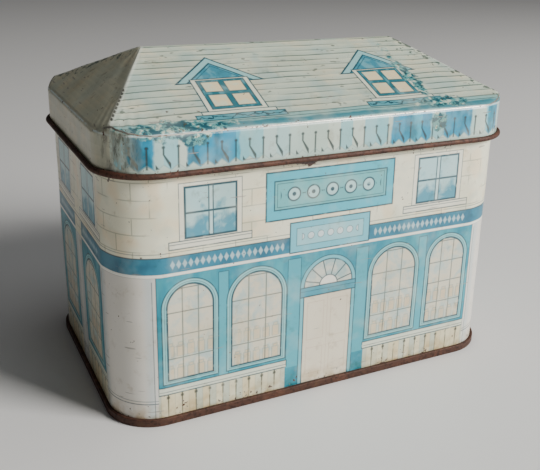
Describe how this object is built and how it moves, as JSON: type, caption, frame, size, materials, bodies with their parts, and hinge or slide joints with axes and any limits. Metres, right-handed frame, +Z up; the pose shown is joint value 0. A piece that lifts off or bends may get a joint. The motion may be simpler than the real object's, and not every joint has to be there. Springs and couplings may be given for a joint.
{
  "type": "lithographed tin",
  "caption": "Small rectangular tin of printed tinplate shaped like a shop, with rounded corners, a seamed bottom and a lift-off hipped-roof lid.",
  "frame": {"origin": "centre of the footprint, on the plane the tin stands on", "axes": "+Z up, +X along the tin's length to the right of the shop front, -Y towards the viewer of the shop front"},
  "size_m": [0.1198, 0.0778, 0.091],
  "materials": {
    "printed_tinplate": "printed cream and turquoise under a worn gloss varnish, plain tin inside",
    "bare_tinplate": "dull tin plating with brown rust on the rim"
  },
  "bodies": {
    "tin": {"body_wall": "printed_tinplate", "bottom_end": "bare_tinplate"},
    "lid": {"lid": "printed_tinplate"}
  },
  "joints": [
    {"name": "lid_lift", "type": "slide", "parent": "tin", "child": "lid", "axis": [0, 0, 1], "range_m": [0, 0.03]}
  ]
}
